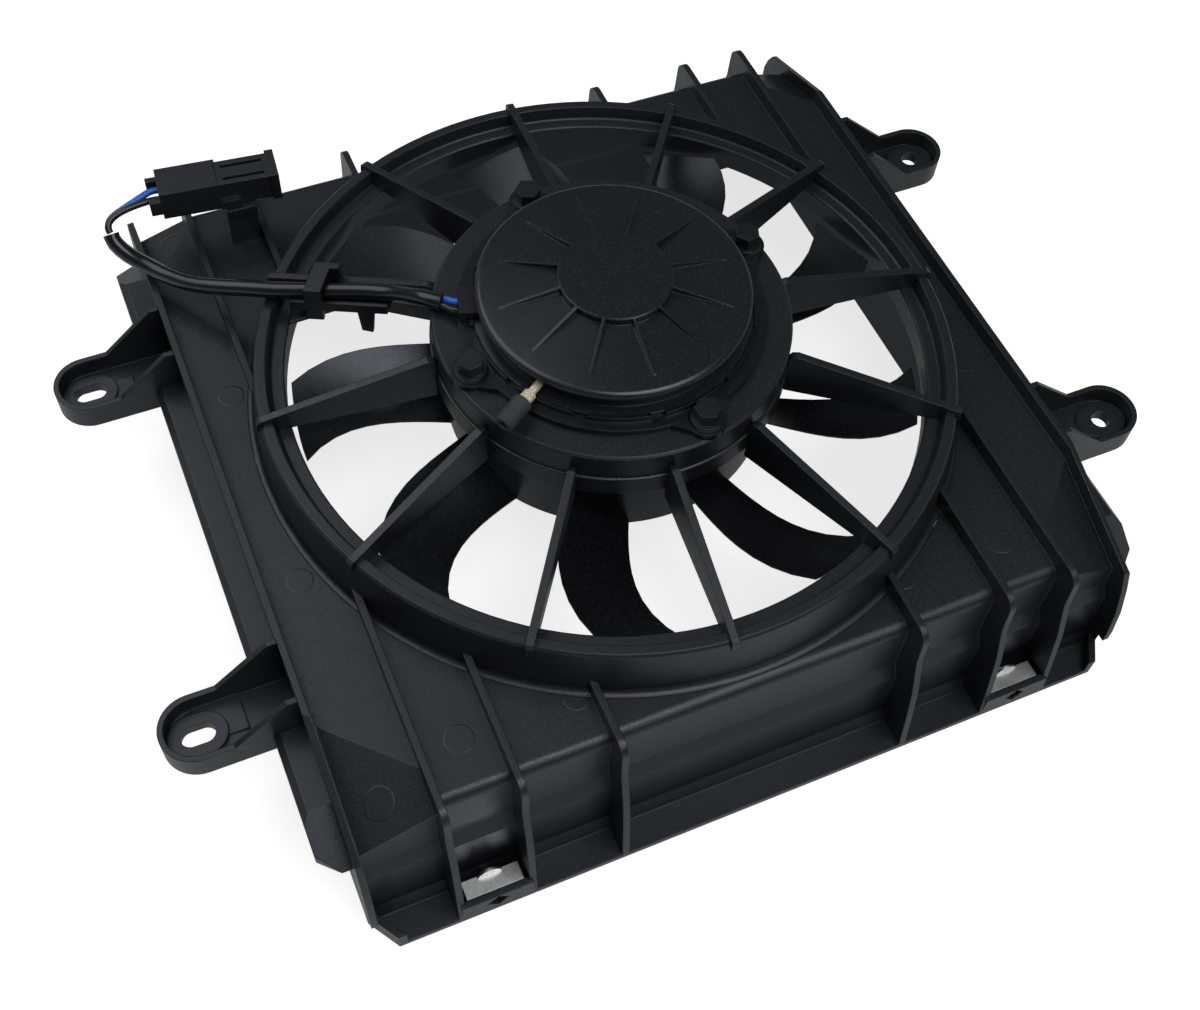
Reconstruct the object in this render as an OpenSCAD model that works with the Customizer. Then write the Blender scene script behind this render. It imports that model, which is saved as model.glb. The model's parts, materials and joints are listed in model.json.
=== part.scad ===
// Intercooler fan: ribbed plenum shroud with a stepped fan ring, spoked motor seat,
// pancake motor, nine-blade fan, lead with connector, mounting ears and clip nuts.
// Origin: on the fan axis, in the plane of the shroud's bottom edge. +Z blows out.

/* [Shroud box] */
// Distance from the fan ring's outer wall to the outer face of an end rib
end_margin = 22.5; // [20:0.5:28]
// Distance from the fan ring's outer wall to the front and rear walls
side_margin = 10; // [8:0.5:14]
// Height of the plate's top face above the bottom edge
plate_z = 75; // [70:0.5:82]
// Thickness of the moulded walls
wall = 3; // [2.4:0.1:3.4]
// Reach of the bottom flange beyond the foot of the wall
flange_w = 17; // [14:0.5:22]
// Thickness of the bottom flange
flange_t = 3.5; // [2.5:0.1:4.5]

/* [Ribs] */
// Height of the ribs above the plate
rib_h = 8; // [5:0.5:10]
// Thickness of the ribs
rib_t = 3; // [2.2:0.1:3.6]
// Distance from the axis to the inner pair of ribs
rib_x1 = 67.5; // [60:0.5:74]
// Distance from an end rib's outer face to the middle of the next front rib
rib_in_front = 36.5; // [33:0.5:40]
// Distance from an end rib's outer face to the middle of the next rear rib
rib_in_rear = 27.5; // [25:0.5:32]

/* [Side shelf] */
// Reach of the side shelf beyond the end rib
shelf_w = 12.5; // [9:0.5:16]
// Height of the side shelf's top face
shelf_z = 62; // [58:0.5:66]
// Depth of the side shelf's outer wall
shelf_h = 15; // [10:0.5:20]

/* [Fan ring] */
// Distance from the throat to the outer edge of the ring's top rim
ring_w = 12.6; // [11:0.2:16]
// Height of the ring's top rim above the plate
ring_h = 25; // [22:0.5:30]
// Width of the top rim
rim_w = 5; // [3.5:0.5:7]
// Drop from the top rim to the inner ledge
ledge_drop = 6; // [4:0.5:8]
// Inner radius of the throat around the blade tips
throat_r = 142.4; // [130:0.2:160]
// Depth of the throat lip below the ledge
lip_h = 11; // [8:0.5:14]

/* [Spokes] */
// Thickness of each spoke
spoke_t = 3.4; // [2.4:0.2:4.4]
// Height of a spoke's top edge above the ring's rim at the motor seat
spoke_rise = 17; // [12:0.5:20]
// Height of a spoke's hooked end above the ring's rim
hook_h = 2; // [1:0.5:3]

/* [Motor seat] */
// Outer radius of the motor seat ring
seat_r = 78; // [76:0.5:80]
// Radius of the seat's opening for the motor can
seat_bore_r = 62.5; // [61.5:0.5:64]
// Height of the seat's top face above the ring's rim
seat_rise = 23; // [20:0.5:26]
// Depth of the seat's outer wall
seat_h = 24; // [20:0.5:26]

/* [Motor] */
// Radius of the motor can
can_r = 60.5; // [58.5:0.5:61.5]
// Depth of the motor can below its flange
can_h = 44; // [40:0.5:46]
// Thickness of the motor flange
motor_flange_t = 3; // [2.5:0.1:3.4]
// Radius of the circle of the motor screws
screw_r = 70; // [69:0.5:71.5]
// Radius of the cap's rounded shoulder
cap_r = 59; // [57:0.5:60]
// Height of the cap's shoulder above the flange
cap_h = 14; // [12:0.5:16]
// Radius of the raised disc in the middle of the cap
cap_disc_r = 24.6; // [22:0.2:28]
// Number of tapered ribs on the cap
cap_ribs = 12; // [8:1:16]
// Radius of the motor shaft
shaft_r = 4; // [3.5:0.1:4.2]

/* [Screws] */
// Nominal radius of the motor screws
bolt_r = 3; // [2.5:0.1:3.2]
// Width of the screw's hexagon across its flats
bolt_af = 10; // [8:0.5:11]

/* [Fan] */
// Number of blades
blades = 9; // [7:1:10]
// Outer radius of the fan hub
hub_r = 73; // [72:0.5:74]
// Depth of the fan hub
hub_h = 31; // [29:0.5:33]
// Gap between the blade tips and the throat
tip_gap = 2.4; // [1.6:0.2:4]
// Length of a blade section along its arc at the hub
chord_root = 29.5; // [26:0.5:33]
// Length of a blade section along its arc at the tip
chord_tip = 37.5; // [33:0.5:41]
// Height of the trailing edge above the leading edge at the hub
pitch_root = 20; // [16:0.5:22]
// Height of the trailing edge above the leading edge at the tip
pitch_tip = 7; // [5:0.5:12]
// Forward sweep of the tip, in degrees
blade_sweep = 9; // [4:0.5:12]
// Thickness of a blade in the middle of its section
blade_t = 2.6; // [2:0.1:3.2]

/* [Ears] */
// Distance from an end rib's outer face to the ear holes
ear_out = 40; // [36:0.5:46]
// Distance from the axis to the ear holes across the box
ear_y = 92; // [86:0.5:98]
// Half width of an ear
ear_r = 15; // [14:0.5:18]
// Height of an ear's bottom face
ear_z = 48.5; // [47:0.5:50]
// Height of an ear's rim above its bottom face
ear_h = 12.5; // [10:0.5:14]
// Radius of the ear holes and half width of the ear slots
ear_hole_r = 4.5; // [3:0.1:5]
// End to end length of the ear slots
slot_len = 14.5; // [12:0.5:17]

/* [Clip nuts] */
// Height of the clip nuts' thread above the bottom edge
clip_z = 9; // [8.5:0.1:9.5]
// Height of the pocket's front wall
pocket_h = 14; // [13.5:0.5:16]
// Width of a clip nut
clip_w = 25; // [22:0.5:26]
// Radius of the clip nut's thread
clip_thread_r = 2.5; // [2:0.1:3]

/* [Lead] */
// Outer radius of the lead's sleeve
sleeve_r = 3.8; // [3.4:0.1:3.9]
// Radius of each wire
wire_r = 1.6; // [1.3:0.1:1.7]

/* [Connector] */
// Length of the connector housing
conn_l = 54.5; // [50:0.5:60]
// Width of the connector housing
conn_w = 17; // [15:0.5:18]
// Height of the connector housing
conn_h = 15; // [14:0.5:17]

/* [Hidden] */
$fn = 96;
eps = 0.01;
seat_gap = 0.3;
fit_gap = 0.05;

// Heights and reaches that follow from the driving dimensions
ring_r = throat_r + ring_w;
box_x = ring_r + end_margin;
box_y = ring_r + side_margin;
plate_under = plate_z - wall;
rib_top = plate_z + rib_h;
foot_y = box_y + 5;
flange_y = foot_y + flange_w;
rim_z = plate_z + ring_h;
ledge_z = rim_z - ledge_drop;
lip_z = ledge_z - lip_h;
spoke_low = ledge_z;
seat_top = rim_z + seat_rise;
seat_low = seat_top - seat_h;
band_z = seat_low + 10.5;
band_t = 0.8;
flange_top = seat_top + motor_flange_t;
can_low = seat_top - can_h;
cap_z = flange_top + cap_h;
hub_low = plate_z - 9;
hub_top = hub_low + hub_h;
tip_r = throat_r - tip_gap;
spoke_step = 30;
spoke_turn = 25;
cable_turn = 145;
screw_turn = 9.5;
cap_turn = 85;
ear_x = box_x + ear_out;
ear_top = ear_z + ear_h;
ear_floor = 3.5;
shelf_x = box_x + shelf_w;
shelf_y = box_y + 1;
shelf_low = shelf_z - shelf_h;
pocket_room = 1.75;
pocket_span = clip_w + 2 * pocket_room + rib_t;
front_x3 = box_x - rib_in_front;
front_x2 = front_x3 - pocket_span;
rear_x3 = box_x - rib_in_rear;
rear_x2 = rear_x3 - pocket_span;

plastic = [0.10, 0.10, 0.11];
soft_black = [0.07, 0.07, 0.07];
satin_black = [0.13, 0.13, 0.14];
steel = [0.70, 0.71, 0.73];
copper = [0.72, 0.45, 0.25];

// Turns a (distance, height) profile upright, facing +X, with a thickness centred on the XZ plane
module upright(thick) {
    rotate([90, 0, 0])
        linear_extrude(thick, center = true)
            children();
}

// Turns a (distance across, height) profile upright along the box, between two X positions
module along_x(x_low, x_high) {
    translate([x_low, 0, 0])
        rotate([90, 0, 90])
            linear_extrude(x_high - x_low)
                children();
}

module front_and_back() {
    children();
    mirror([0, 1, 0])
        children();
}

module both_ends() {
    children();
    mirror([1, 0, 0])
        children();
}

function arc(cx, cy, r, from, to, steps) =
    [for (i = [0 : steps]) let (a = from + (to - from) * i / steps) [cx + r * cos(a), cy + r * sin(a)]];

// Half sections of the box from the plate down: rounded shoulder, shallow step, bottom flange
shoulder_r = 5;
step_z = plate_z * 0.6;
step_out = 4.4;
foot_flare = 3.5;
outer_half = concat(
    arc(box_y - shoulder_r, plate_z - shoulder_r, shoulder_r, 90, 0, 6),
    [[box_y + 0.6, step_z], [box_y + step_out, step_z - 7], [foot_y, flange_t + 5],
     [foot_y + foot_flare, flange_t], [flange_y, flange_t], [flange_y, 0]]);
inner_half = concat(
    arc(box_y - shoulder_r, plate_z - shoulder_r, shoulder_r - wall, 90, 0, 6),
    [[box_y + 0.6 - wall, step_z - 1], [box_y + step_out - wall, step_z - 8], [foot_y - wall, -1]]);
module symmetric(half) {
    polygon(concat(half, [for (i = [len(half) - 1 : -1 : 0]) [-half[i][0], half[i][1]]]));
}

// Half outlines of the ribs: flat over the plate, rounded nose, gusset down to the flange
rib_corner = 7;
rib_half = concat(
    [[0, 0], [0, rib_top]],
    arc(box_y + 3, rib_top - rib_corner, rib_corner, 90, 10, 6),
    [[box_y + 11, plate_z - 12], [box_y + 16, step_z - 1], [box_y + 19.5, step_z / 2],
     [flange_y, flange_t + 0.5], [flange_y, 0]]);
end_front_half = [[0, 0], [0, rib_top], [box_y + 2, rib_top], [box_y + 6.5, plate_z - 13.5],
    [box_y + 10, plate_z - 23.5], [box_y + 13.7, plate_z / 2], [box_y + 15.7, step_z / 2],
    [box_y + 16.1, flange_t], [box_y + 16.1, 0]];
end_rear_half = [[0, 0], [0, rib_top], [box_y + 4, rib_top], [box_y + 8, plate_z - 4.5],
    [box_y + 13, plate_z - 11.5], [box_y + 15.5, plate_z - 18], [box_y + 16.5, plate_z / 2],
    [box_y + 16.5, 0]];

// The corner panels fall away from a diagonal crease towards each corner of the box
corner_d = (box_x + box_y) / sqrt(2);
front_crease = corner_d - 37;
rear_crease = corner_d - 27;
front_slope = 0.53;
rear_slope = 0.45;
corner_web = 3;
module corner_cut(crease, slope, raise, reach) {
    intersection() {
        rotate([0, 0, -135])
            upright(2 * crease)
                polygon([[crease, plate_z + raise], [crease, 2 * rim_z], [2 * crease, 2 * rim_z],
                    [2 * crease, plate_z + raise - crease * slope]]);
        translate([-2 * box_x, -2 * box_y, -1])
            cube([2 * box_x - reach, 1.5 * box_y, 3 * rim_z]);
    }
}
module corner_cuts(raise, web) {
    both_ends() {
        corner_cut(front_crease, front_slope, raise, front_x3 - web);
        mirror([0, 1, 0])
            corner_cut(rear_crease, rear_slope, raise, rear_x3 - web);
    }
}

// The feet of the end ribs are cut off obliquely, and a low lip closes the corner
foot_dx = 9;
foot_dy = 14;
foot_cut_h = 16;
lip_top = 11;
module foot_cuts() {
    both_ends()
        front_and_back()
            translate([0, 0, -1])
                linear_extrude(foot_cut_h + 1)
                    polygon([[-box_x, foot_dy - flange_y], [-box_x - foot_dx, 2 * foot_dy - flange_y],
                        [-box_x - foot_dx, -flange_y - foot_dy],
                        [-box_x + 2 * foot_dx, -flange_y - foot_dy]]);
}
module foot_lip() {
    linear_extrude(lip_top)
        polygon([[-box_x, foot_dy - flange_y], [-box_x + foot_dx, -flange_y],
            [-box_x + foot_dx + 1.2 * wall, -flange_y], [-box_x + wall, foot_dy - flange_y + 0.3 * wall]]);
}
module outer_box() {
    difference() {
        along_x(-box_x, box_x)
            symmetric(outer_half);
        corner_cuts(0, 0);
    }
}
module inner_box() {
    difference() {
        along_x(-box_x + rib_t, box_x - rib_t)
            symmetric(inner_half);
        corner_cuts(-wall * 1.15, corner_web);
    }
}

// Front and rear ribs stand at their own distances; end ribs fall with the corner panels
module rib(x, half) {
    both_ends()
        along_x(x - rib_t / 2, x + rib_t / 2)
            polygon(half);
}
module ribs() {
    mirror([0, 1, 0])
        for (x = [rib_x1, front_x2, front_x3])
            rib(x, rib_half);
    for (x = [rib_x1, rear_x2, rear_x3])
        rib(x, rib_half);
    difference() {
        union() {
            mirror([0, 1, 0])
                rib(box_x - rib_t / 2, end_front_half);
            rib(box_x - rib_t / 2, end_rear_half);
        }
        corner_cuts(rib_h, 0);
    }
}

// Shelf along each end of the box, open below, with falling ends, cleared at the ears
shelf_fall = 23;
shelf_corner = 8;
module shelf_side(low) {
    polygon([[-shelf_y, low], [-shelf_y, shelf_low + 1], [shelf_fall - shelf_y, shelf_z],
        [shelf_y - shelf_fall, shelf_z], [shelf_y, shelf_low + 1], [shelf_y, low]]);
}
module shelf_body(inset, low) {
    intersection() {
        along_x(-shelf_x, -box_x + 1 + inset)
            offset(delta = -inset)
                shelf_side(low);
        linear_extrude(2 * shelf_z)
            offset(delta = -inset)
                polygon([[1 + 2 * inset - box_x, -shelf_y], [shelf_corner - shelf_x, -shelf_y],
                    [-shelf_x, shelf_corner - shelf_y], [-shelf_x, shelf_y - shelf_corner],
                    [shelf_corner - shelf_x, shelf_y], [1 + 2 * inset - box_x, shelf_y]]);
    }
}
module side_shelf() {
    difference() {
        shelf_body(0, shelf_low);
        shelf_body(wall, 0);
        translate([-shelf_x, 0, shelf_z])
            rotate([0, 45, 0])
                cube([4, 2 * shelf_y + 2, 4], center = true);
        front_and_back()
            translate([-shelf_x - 1, ear_y - ear_r - fit_gap, 0])
                cube([shelf_w + 1, 2 * (ear_r + fit_gap), 2 * shelf_z]);
    }
}

// Stepped ring: foot fillet, tapered outer wall, top rim, inner ledge and throat lip
ring_foot_r = ring_r + 5.5;
foot_turn = 180 + 8;
module ring_section() {
    polygon(concat(
        [[ring_foot_r, plate_under]],
        arc(ring_foot_r, plate_z + 3, 3, 270, foot_turn, 5),
        [[ring_r, rim_z - 1.2], [ring_r - 1, rim_z], [ring_r - rim_w, rim_z],
         [ring_r - rim_w - 1.6, ledge_z + 0.6], [ring_r - rim_w - 2.2, ledge_z],
         [throat_r + 0.6, ledge_z], [throat_r, ledge_z - 0.6], [throat_r, lip_z], [throat_r + 2.2, lip_z],
         [throat_r + wall, ledge_z - wall], [ring_r - wall, ledge_z - wall]],
        arc(ring_foot_r - 2, plate_z + 0.5, 3.5, foot_turn, 270, 5)));
}
module fan_ring() {
    color(plastic)
        rotate_extrude($fn = 180)
            ring_section();
}

// The space inside the ring's outer face, kept clear of plate and ribs
module ring_room() {
    rotate_extrude($fn = 180)
        polygon(concat(
            [[0, -1], [ring_foot_r + fit_gap, -1]],
            arc(ring_foot_r + fit_gap, plate_z + 3, 3, 270, foot_turn, 5),
            [[ring_r + fit_gap, rim_z], [ring_r + fit_gap, 2 * rim_z], [0, 2 * rim_z]]));
}

// Tray-shaped ear with gusset walls that climb to the end rib
module ear_side(reach) {
    polygon([[box_x - 1, ear_z], [box_x - 1, rib_top - 1], [box_x + 4, rib_top - 1],
        [ear_x - 12, ear_top], [reach, ear_top], [reach, ear_z]]);
}
module ear_plan(half, root) {
    translate([root, -half])
        square([ear_x - root, 2 * half]);
    translate([ear_x, 0])
        circle(half);
}
module ear_room() {
    translate([0, 0, ear_z + ear_floor])
        linear_extrude(rib_top)
            ear_plan(ear_r - 2.4, box_x);
}
module ear() {
    intersection() {
        union() {
            difference() {
                translate([0, 0, ear_z])
                    linear_extrude(rib_top - ear_z)
                        ear_plan(ear_r, box_x + fit_gap);
                ear_room();
            }
            translate([0, 0, ear_z])
                linear_extrude(ear_floor + 2)
                    ear_slot(ear_hole_r + 5);
            translate([ear_x - ear_out / 2, -ear_r + 1, ear_z])
                cube([ear_out / 2, ear_r + 3, ear_floor + 1]);
        }
        upright(2 * ear_r + 2)
            ear_side(ear_x + ear_r + 1);
    }
}
module both_ear_centres() {
    for (s = [-1, 1])
        translate([ear_x + s * (slot_len / 2 - ear_hole_r), 0])
            children();
}
module ear_slot(half) {
    both_ear_centres()
        circle(half, $fn = 48);
    translate([ear_x - slot_len / 2 + ear_hole_r, -half])
        square([slot_len - 2 * ear_hole_r, 2 * half]);
}
module round_ear() {
    difference() {
        ear();
        translate([ear_x, 0, ear_z - 1])
            cylinder(h = ear_h, r = ear_hole_r);
    }
}
module slotted_ear() {
    difference() {
        ear();
        translate([0, 0, ear_z - 1])
            linear_extrude(ear_h)
                ear_slot(ear_hole_r);
    }
}
module ears() {
    color(plastic)
        front_and_back()
            translate([0, ear_y, 0]) {
                round_ear();
                mirror([1, 0, 0])
                    slotted_ear();
            }
}

// Clip nuts sit between the two outer inner ribs, nearer the end in the rear wall
front_clip_x = front_x3 - pocket_span / 2;
rear_clip_x = rear_x3 - pocket_span / 2;
module at_clips() {
    both_ends() {
        translate([front_clip_x, 0, 0])
            children();
        mirror([0, 1, 0])
            translate([rear_clip_x, 0, 0])
                children();
    }
}

// Front wall of a clip nut pocket, with its cross-shaped screw hole
pocket_wall = wall;
pocket_hole_r = clip_thread_r + 1;
module pocket() {
    difference() {
        translate([-pocket_span / 2, -flange_y, 0])
            cube([pocket_span, pocket_wall, pocket_h]);
        translate([0, -flange_y - 1, clip_z])
            rotate([-90, 0, 0])
                cylinder(h = pocket_wall + 2, r = pocket_hole_r);
        for (turn = [0, 90])
            translate([0, -flange_y, clip_z])
                rotate([0, turn, 0])
                    cube([2 * pocket_hole_r + 2.4, 2 * pocket_wall + 2, 1.6], center = true);
    }
}

module shroud() {
    color(plastic) {
        difference() {
            union() {
                outer_box();
                ribs();
            }
            inner_box();
            ring_room();
            foot_cuts();
        }
        both_ends() {
            side_shelf();
            front_and_back()
                foot_lip();
        }
        at_clips()
            pocket();
    }
}

// Motor seat: channel ring that carries the motor flange on four bosses
boss_r = 7;
insert_r = bolt_r + 1.6;
insert_h = 12;
module seat_section() {
    polygon([[seat_r + band_t, seat_low], [seat_r + band_t, band_z - 0.4], [seat_r, band_z],
        [seat_r, seat_top - 1], [seat_r - 1, seat_top], [seat_bore_r, seat_top],
        [seat_bore_r, seat_top - 14], [seat_bore_r + 2.4, seat_top - 14],
        [seat_bore_r + 2.4, seat_top - wall],
        [seat_r - wall, seat_top - wall], [seat_r - wall, seat_low]]);
}
module at_screws() {
    for (i = [0 : 3])
        rotate([0, 0, screw_turn + 90 * i])
            translate([screw_r, 0, 0])
                children();
}
module motor_seat() {
    color(plastic)
        difference() {
            union() {
                rotate_extrude($fn = 180)
                    seat_section();
                at_screws()
                    translate([0, 0, seat_top - insert_h - 3])
                        cylinder(h = insert_h + 3 - eps, r = boss_r, $fn = 48);
            }
            at_screws()
                translate([0, 0, seat_top - insert_h])
                    cylinder(h = insert_h + 1, r = insert_r + fit_gap, $fn = 48);
            at_screws()
                translate([0, 0, seat_top - insert_h - 4])
                    cylinder(h = insert_h, r = bolt_r + 0.2, $fn = 48);
        }
}

// Side view of a spoke, from the seat wall to the hook over the ring's rim
spoke_in = seat_r + fit_gap;
hook_drop = 3.5;
module spoke_side() {
    polygon([[spoke_in + band_t, spoke_low], [spoke_in + band_t, band_z - 0.4], [spoke_in, band_z + 0.1],
        [spoke_in, rim_z + spoke_rise - 3], [seat_r + 1.2, rim_z + spoke_rise - 0.8],
        [seat_r + 4, rim_z + spoke_rise], [ring_r - rim_w, rim_z + hook_h + 1],
        [ring_r, rim_z + hook_h], [ring_r + 1.6, rim_z + hook_h - 1.2], [ring_r + 2, rim_z - hook_drop],
        [ring_r + 0.55, rim_z - hook_drop], [ring_r + 0.3, rim_z - 1], [ring_r - 0.6, rim_z + 0.02],
        [ring_r - rim_w - 0.1, rim_z + 0.02], [ring_r - rim_w - 1.8, ledge_z + 0.6],
        [ring_r - rim_w - 2.4, ledge_z + 0.02], [throat_r + 0.6, ledge_z + 0.02], [throat_r - 1, spoke_low]]);
}
module spokes() {
    color(plastic)
        for (i = [0 : 11])
            if (spoke_turn + spoke_step * i != cable_turn)
                rotate([0, 0, spoke_turn + spoke_step * i])
                    upright(spoke_t)
                        spoke_side();
}

// The twelfth spoke carries the lead in a sloping trough under a bridging strap
channel_y = spoke_t / 2 + 2 * sleeve_r + 4.6;
channel_t = 1.8;
channel_start = seat_r + 18;
channel_end = throat_r - 1.4;
channel_slope = 0.21;
channel_lip = 3;
strap_at = throat_r - 16.5;
strap_end = strap_at + 8;
strap_room = 2 * sleeve_r + 1.2;
tab_at = seat_r + 24;
tab_h = 15;
gusset_at = throat_r - 28;
gusset_w = 19;
function channel_floor(x) = rim_z + 9.3 - channel_slope * (x - throat_r + 34);
// A piece that follows the trough's slope, between two distances above its floor
module sloped(from, to, low, high, y_low, y_high) {
    translate([0, (y_low + y_high) / 2, 0])
        upright(y_high - y_low)
            polygon([[from, channel_floor(from) + low], [from, channel_floor(from) + high],
                [to, channel_floor(to) + high], [to, channel_floor(to) + low]]);
}
module hanging_tab() {
    translate([0, channel_y + channel_t / 2, 0])
        upright(channel_t)
            polygon([[tab_at, channel_floor(tab_at)], [tab_at + 8, channel_floor(tab_at + 8)],
                [tab_at + 6.5, channel_floor(tab_at) - tab_h], [tab_at + 1.5, channel_floor(tab_at) - tab_h]]);
}
module gusset() {
    intersection() {
        translate([0, 0, spoke_low])
            linear_extrude(channel_t)
                polygon([[gusset_at, 0], [throat_r + 5, 0], [throat_r + 5, gusset_w + 3],
                    [throat_r - 2, gusset_w]]);
        cylinder(h = 2 * rim_z, r = throat_r - 0.3, $fn = 180);
    }
}
module cable_channel() {
    color(plastic)
        rotate([0, 0, cable_turn]) {
            upright(spoke_t)
                spoke_side();
            gusset();
            hanging_tab();
            sloped(channel_start, channel_end, -channel_t, 0, 0, channel_y + channel_t);
            sloped(channel_start, channel_end, -channel_t, channel_lip, channel_y, channel_y + channel_t);
            sloped(strap_at, strap_end, -8, strap_room + channel_t, channel_y, channel_y + channel_t);
            sloped(strap_at, strap_end, strap_room, strap_room + channel_t, 0, channel_y + channel_t);
            sloped(strap_at - 4, strap_end, -1, strap_room + channel_t, -spoke_t / 2, spoke_t / 2);
        }
}

// Radius of the cap's foot, which the rim of the can is crimped around
foot_r = can_r - 0.2;

// Motor can: stamped flange with four ears over a cup that reaches into the fan hub
can_wall = 2;
bearing_r = 11;
bearing_h = 7;
front_bearing_z = can_low - 1;
module flange_plan() {
    difference() {
        union() {
            circle(screw_r - 3.5, $fn = 160);
            for (i = [0 : 3])
                rotate(screw_turn + 90 * i) {
                    translate([screw_r, 0])
                        circle(8.5, $fn = 48);
                    polygon([[screw_r - 6, -15], [screw_r + 2, -8], [screw_r + 2, 8], [screw_r - 6, 15]]);
                }
        }
        for (i = [0 : 3])
            rotate(screw_turn + 90 * i)
                translate([screw_r, 0])
                    circle(bolt_r + 0.3, $fn = 48);
    }
}
module crimped_rim() {
    difference() {
        cylinder(h = 2.6, r = foot_r + 1.7, $fn = 160);
        translate([0, 0, -1])
            cylinder(h = 5, r = foot_r + fit_gap, $fn = 160);
        for (i = [0 : 11])
            rotate([0, 0, 24 + 30 * i])
                translate([foot_r - 2, -3, 0])
                    cube([6, 6, 4]);
    }
}
module motor_can() {
    color(satin_black)
        difference() {
            union() {
                translate([0, 0, seat_top])
                    linear_extrude(motor_flange_t)
                        flange_plan();
                translate([0, 0, can_low])
                    cylinder(h = can_h + eps, r = can_r, $fn = 160);
                translate([0, 0, front_bearing_z])
                    cylinder(h = bearing_h + can_wall, r = bearing_r + 3);
                translate([0, 0, flange_top - eps])
                    crimped_rim();
            }
            translate([0, 0, can_low + can_wall])
                difference() {
                    cylinder(h = can_h + 10, r = can_r - can_wall, $fn = 160);
                    translate([0, 0, -can_wall - 1])
                        cylinder(h = bearing_h + can_wall, r = bearing_r + 3);
                }
            translate([0, 0, front_bearing_z - 1])
                cylinder(h = bearing_h + 1, r = bearing_r + fit_gap);
            translate([0, 0, front_bearing_z])
                cylinder(h = bearing_h + can_wall + 1, r = bearing_r - 3);
        }
}

// Motor cap: crimp ring, neck, rounded shoulder, shallow cone, raised disc and tapered ribs
neck_r = cap_r - 3.5;
spigot_r = can_r - can_wall - 0.2;
spigot_h = 4;
seal_low = 2.7;
seal_t = 1.3;
cone_rise = 2.5;
disc_rise = 6;
rib_reach = 27;
rear_bearing_z = cap_z - bearing_h - 3;
module cap_section() {
    polygon(concat(
        [[spigot_r - 3, flange_top - spigot_h], [spigot_r, flange_top - spigot_h],
         [spigot_r, flange_top - seal_low], [spigot_r - seal_t, flange_top - seal_low],
         [spigot_r - seal_t, flange_top - seal_low + seal_t + 0.1],
         [spigot_r, flange_top - seal_low + seal_t + 0.1], [spigot_r, flange_top], [foot_r, flange_top],
         [foot_r, flange_top + 2], [neck_r, flange_top + 2.6], [neck_r, cap_z - 7.5]],
        arc(cap_r - 3, cap_z - 3, 3, 0, 84, 6),
        [[cap_disc_r, cap_z + cone_rise], [cap_disc_r, cap_z + disc_rise - 0.5],
         [cap_disc_r - 0.5, cap_z + disc_rise], [0, cap_z + disc_rise], [0, cap_z - 1],
         [spigot_r - 3, cap_z - 6]]));
}
module cap_rib() {
    translate([cap_disc_r - 1, 0, 0])
        upright(1.5)
            polygon([[0, cap_z - 1], [0, cap_z + disc_rise - 0.4], [1.5, cap_z + disc_rise - 0.6],
                [rib_reach, cap_z + 0.6], [rib_reach, cap_z - 1]]);
}
module motor_cap() {
    color(plastic)
        difference() {
            union() {
                rotate_extrude($fn = 160)
                    cap_section();
                for (i = [0 : cap_ribs - 1])
                    rotate([0, 0, cap_turn + 360 / cap_ribs * i])
                        cap_rib();
                translate([0, 0, rear_bearing_z])
                    cylinder(h = cap_z - rear_bearing_z, r = bearing_r + 3);
            }
            translate([0, 0, rear_bearing_z - 1])
                cylinder(h = bearing_h + 1, r = bearing_r + fit_gap);
            translate([0, 0, rear_bearing_z])
                cylinder(h = bearing_h + 2.2, r = bearing_r - 3);
        }
}

// Square ring in the groove of the cap's spigot, against the inside of the can
module cap_seal() {
    color(soft_black)
        rotate_extrude($fn = 120)
            translate([spigot_r - seal_t + fit_gap, flange_top - seal_low + fit_gap])
                square(seal_t);
}

// Four arc magnets on the inside of the can
magnet_t = 5;
magnet_arc = 74;
magnet_low = can_low + 9;
magnet_h = 26;
module magnets() {
    color(satin_black)
        for (i = [0 : 3])
            rotate([0, 0, 90 * i + (90 - magnet_arc) / 2])
                translate([0, 0, magnet_low])
                    rotate_extrude(angle = magnet_arc, $fn = 120)
                        translate([can_r - can_wall - magnet_t - seat_gap, 0])
                            square([magnet_t, magnet_h]);
}

// Slotted armature stack
armature_r = can_r - can_wall - magnet_t - seat_gap - 1.2;
armature_low = magnet_low + 2;
armature_h = 20;
slots = 12;
module armature() {
    color(steel)
        difference() {
            translate([0, 0, armature_low])
                cylinder(h = armature_h, r = armature_r, $fn = 120);
            translate([0, 0, armature_low - 1])
                cylinder(h = armature_h + 2, r = shaft_r + fit_gap);
            for (i = [0 : slots - 1])
                rotate([0, 0, 360 / slots * i])
                    translate([armature_r - 13, -3, armature_low - 1])
                        cube([20, 6, armature_h + 2]);
        }
}

// End turns of the coils, above and below the armature stack
module windings() {
    color(copper)
        for (z = [armature_low - 5.3, armature_low + armature_h + 0.3])
            rotate_extrude($fn = 96)
                translate([armature_r - 22, z])
                    square([17, 5]);
}

commutator_r = 14;
commutator_z = armature_low + armature_h + 7;
commutator_h = 10;
module commutator() {
    color(copper)
        translate([0, 0, commutator_z])
            difference() {
                cylinder(h = commutator_h, r = commutator_r);
                translate([0, 0, -1])
                    cylinder(h = commutator_h + 2, r = shaft_r + fit_gap);
            }
}

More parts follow.
